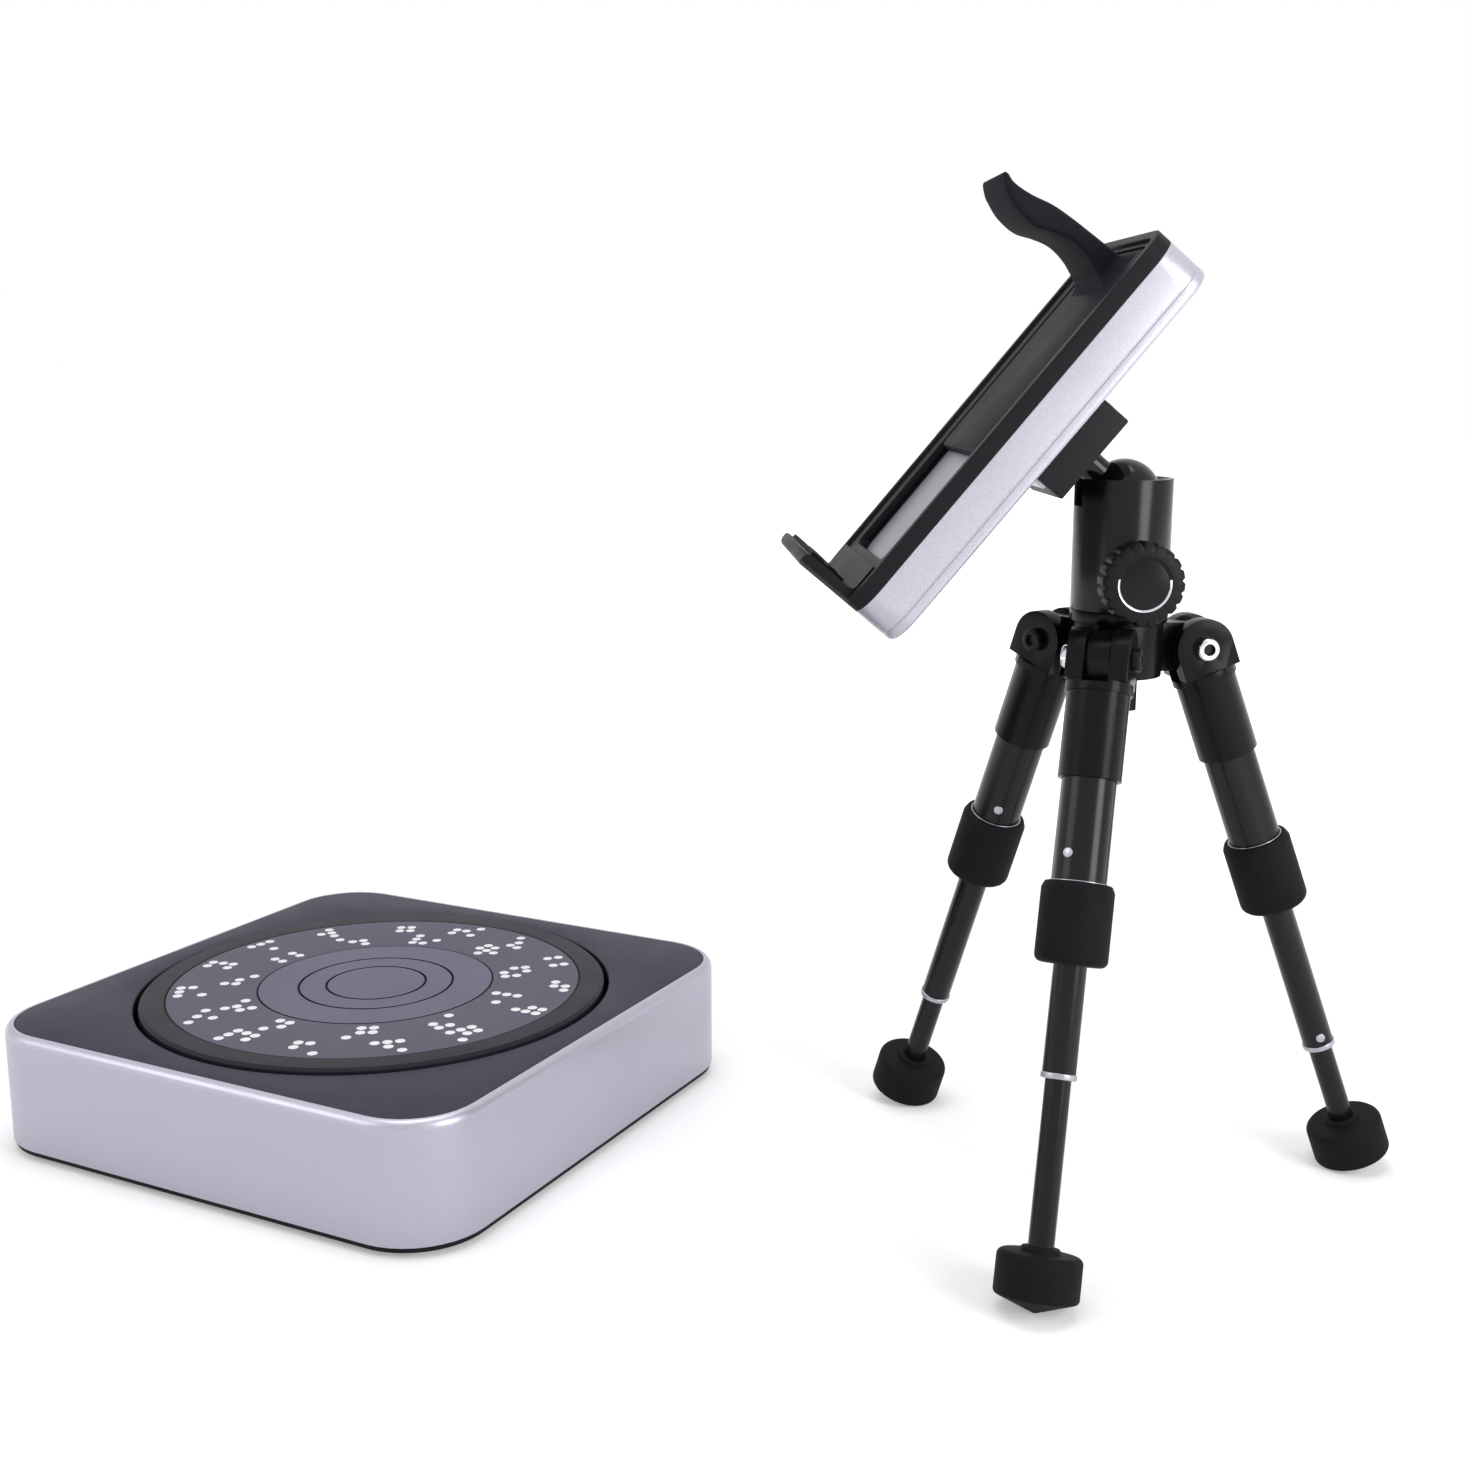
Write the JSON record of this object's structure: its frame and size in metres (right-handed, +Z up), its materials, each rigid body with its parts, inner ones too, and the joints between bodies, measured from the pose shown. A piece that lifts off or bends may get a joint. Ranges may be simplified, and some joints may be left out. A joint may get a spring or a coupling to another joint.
{
  "type": "three-d scanner turntable and tripod set",
  "caption": "Square motor-driven turntable with a marked round platter, beside a table-top tripod whose ball head holds a hand scanner cradle with a lip and a sliding hook.",
  "frame": {"origin": "middle of the turntable on the floor plane, where its rubber feet stand", "axes": "+Z up along the platter spindle, +X from the turntable to the tripod, -Y towards the front of the turntable"},
  "size_m": [0.4269, 0.2144, 0.3144],
  "materials": {
    "silver_shell": "satin silver paint",
    "cover_black": "fine textured",
    "platter_face": "satin",
    "marker_film": "grained film",
    "dark_base": "matt",
    "rubber": "matt",
    "steel": "machined",
    "plated": "polished",
    "cast_aluminium": "cast",
    "motor_can": "zinc plated",
    "board_green": "solder resist",
    "socket_black": "moulded",
    "socket_metal": "tinned",
    "gear_nylon": "moulded",
    "pinion_brass": "cut",
    "black_casting": "gloss black",
    "black_tube": "black anodised",
    "seat_nylon": "moulded",
    "black_knob": "satin",
    "plate_aluminium": "anodised",
    "cradle_silver": "metallic silver paint",
    "cradle_black": "satin"
  },
  "bodies": {
    "turntable": {"base_plate": "dark_base", "turntable_shell": "silver_shell", "top_cover": "cover_black", "turntable_feet": "rubber", "case_screws": "steel", "bearing_housing": "cast_aluminium", "bearing_outer_rings": "steel", "drive_motor": "motor_can", "chassis_screws": "steel", "control_board": "board_green", "dc_jack": "socket_black", "data_socket": "socket_metal"},
    "platter": {"platter": "platter_face", "marker_ring": "marker_film", "spindle": "steel", "bearing_inner_rings": "steel", "platter_gear": "gear_nylon"},
    "rotor": {"motor_shaft": "steel", "motor_pinion": "pinion_brass"},
    "tripod": {"crown": "black_casting", "centre_column": "black_casting", "pivot_bolts": "plated", "pan_base": "black_casting"},
    "head": {"head_body": "black_casting", "ball_seat": "seat_nylon"},
    "lock": {"lock_knob": "black_knob", "lock_screw": "steel"},
    "ball": {"ball_stem": "black_casting"},
    "cradle": {"clamp_body": "black_casting", "release_plate": "plate_aluminium", "plate_screw": "steel", "cradle_shell": "cradle_silver", "cradle_frame": "cradle_black", "cradle_screws": "steel", "inner_deck": "cradle_silver", "lower_jaw": "cradle_black", "lower_pad": "rubber"},
    "clamp_jaw": {"clamp_jaw": "black_casting"},
    "clamp_knob": {"clamp_screw": "steel", "clamp_knob": "black_knob"},
    "upper_jaw": {"upper_jaw": "cradle_black"},
    "leg_1": {"leg_1_knuckle": "black_casting", "leg_1_tube": "black_tube"},
    "leg_1_twist": {"leg_1_grip": "rubber"},
    "leg_1_lower": {"leg_1_lower_tube": "black_tube"},
    "leg_1_end": {"leg_1_rod": "black_tube", "leg_1_foot": "rubber"},
    "leg_2": {"leg_2_knuckle": "black_casting", "leg_2_tube": "black_tube"},
    "leg_2_twist": {"leg_2_grip": "rubber"},
    "leg_2_lower": {"leg_2_lower_tube": "black_tube"},
    "leg_2_end": {"leg_2_rod": "black_tube", "leg_2_foot": "rubber"},
    "leg_3": {"leg_3_knuckle": "black_casting", "leg_3_tube": "black_tube"},
    "leg_3_twist": {"leg_3_grip": "rubber"},
    "leg_3_lower": {"leg_3_lower_tube": "black_tube"},
    "leg_3_end": {"leg_3_rod": "black_tube", "leg_3_foot": "rubber"}
  },
  "joints": [
    {"name": "platter_spin", "type": "hinge", "parent": "turntable", "child": "platter", "pos_m": [0, 0, 0.04], "axis": [0, 0, 1], "continuous": true},
    {"name": "motor_spin", "type": "hinge", "parent": "turntable", "child": "rotor", "pos_m": [-0.03764, 0.0418, 0.0335], "axis": [0, 0, 1], "continuous": true},
    {"name": "tripod_distance", "type": "slide", "parent": "turntable", "child": "tripod", "axis": [1, 0, 0], "range_m": [-0.03, 0.15]},
    {"name": "head_pan", "type": "hinge", "parent": "tripod", "child": "head", "pos_m": [0.248, 0.055, 0.22219], "axis": [0, 0, 1], "continuous": true},
    {"name": "lock_knob_turn", "type": "hinge", "parent": "head", "child": "lock", "pos_m": [0.248, 0.055, 0.19819], "axis": [0.515, -0.8572, 0], "range_deg": [0, 180]},
    {"name": "ball_tilt", "type": "hinge", "parent": "head", "child": "ball", "pos_m": [0.248, 0.055, 0.22219], "axis": [0.515, -0.8572, 0], "range_deg": [-100, 25]},
    {"name": "cradle_swivel", "type": "hinge", "parent": "ball", "child": "cradle", "pos_m": [0.248, 0.055, 0.22219], "axis": [-0.6566, -0.3945, 0.6428], "continuous": true},
    {"name": "clamp_knob_turn", "type": "hinge", "parent": "cradle", "child": "clamp_knob", "pos_m": [0.21915, 0.07267, 0.23531], "axis": [-0.515, 0.8572, 0], "range_deg": [0, 720]},
    {"name": "clamp_jaw_slide", "type": "slide", "parent": "cradle", "child": "clamp_jaw", "axis": [-0.515, 0.8572, 0], "range_m": [0, 0.0014]},
    {"name": "jaw_slide", "type": "slide", "parent": "cradle", "child": "upper_jaw", "axis": [0.551, 0.3311, 0.766], "range_m": [-0.035, 0]},
    {"name": "leg_1_fold", "type": "hinge", "parent": "tripod", "child": "leg_1", "pos_m": [0.25061, 0.03014, 0.17609], "axis": [0.9945, 0.1045, 0], "range_deg": [0, 20]},
    {"name": "leg_1_twist_lock", "type": "hinge", "parent": "leg_1", "child": "leg_1_twist", "pos_m": [0.25061, 0.03014, 0.17609], "axis": [0.0366, -0.3483, -0.9367], "range_deg": [0, 90]},
    {"name": "leg_1_extend", "type": "slide", "parent": "leg_1", "child": "leg_1_lower", "axis": [0.0366, -0.3483, -0.9367], "range_m": [-0.025, 0.03]},
    {"name": "leg_1_rod_extend", "type": "slide", "parent": "leg_1_lower", "child": "leg_1_end", "axis": [0.0366, -0.3483, -0.9367], "range_m": [-0.045, 0.015]},
    {"name": "leg_2_fold", "type": "hinge", "parent": "tripod", "child": "leg_2", "pos_m": [0.26822, 0.06969, 0.17609], "axis": [-0.5878, 0.809, 0], "range_deg": [0, 20]},
    {"name": "leg_2_twist_lock", "type": "hinge", "parent": "leg_2", "child": "leg_2_twist", "pos_m": [0.26822, 0.06969, 0.17609], "axis": [0.2833, 0.2058, -0.9367], "range_deg": [0, 90]},
    {"name": "leg_2_extend", "type": "slide", "parent": "leg_2", "child": "leg_2_lower", "axis": [0.2833, 0.2058, -0.9367], "range_m": [-0.045, 0.01]},
    {"name": "leg_2_rod_extend", "type": "slide", "parent": "leg_2_lower", "child": "leg_2_end", "axis": [0.2833, 0.2058, -0.9367], "range_m": [-0.025, 0.015]},
    {"name": "leg_3_fold", "type": "hinge", "parent": "tripod", "child": "leg_3", "pos_m": [0.22516, 0.06517, 0.17609], "axis": [-0.4067, -0.9135, 0], "range_deg": [0, 20]},
    {"name": "leg_3_twist_lock", "type": "hinge", "parent": "leg_3", "child": "leg_3_twist", "pos_m": [0.22516, 0.06517, 0.17609], "axis": [-0.3199, 0.1424, -0.9367], "range_deg": [0, 90]},
    {"name": "leg_3_extend", "type": "slide", "parent": "leg_3", "child": "leg_3_lower", "axis": [-0.3199, 0.1424, -0.9367], "range_m": [-0.045, 0.01]},
    {"name": "leg_3_rod_extend", "type": "slide", "parent": "leg_3_lower", "child": "leg_3_end", "axis": [-0.3199, 0.1424, -0.9367], "range_m": [-0.025, 0.015]}
  ],
  "couplings": [
    {"joint": "motor_spin", "follows": "platter_spin", "ratio": -4},
    {"joint": "clamp_knob_turn", "follows": "clamp_jaw_slide", "rad_per_m": 8975.9}
  ]
}
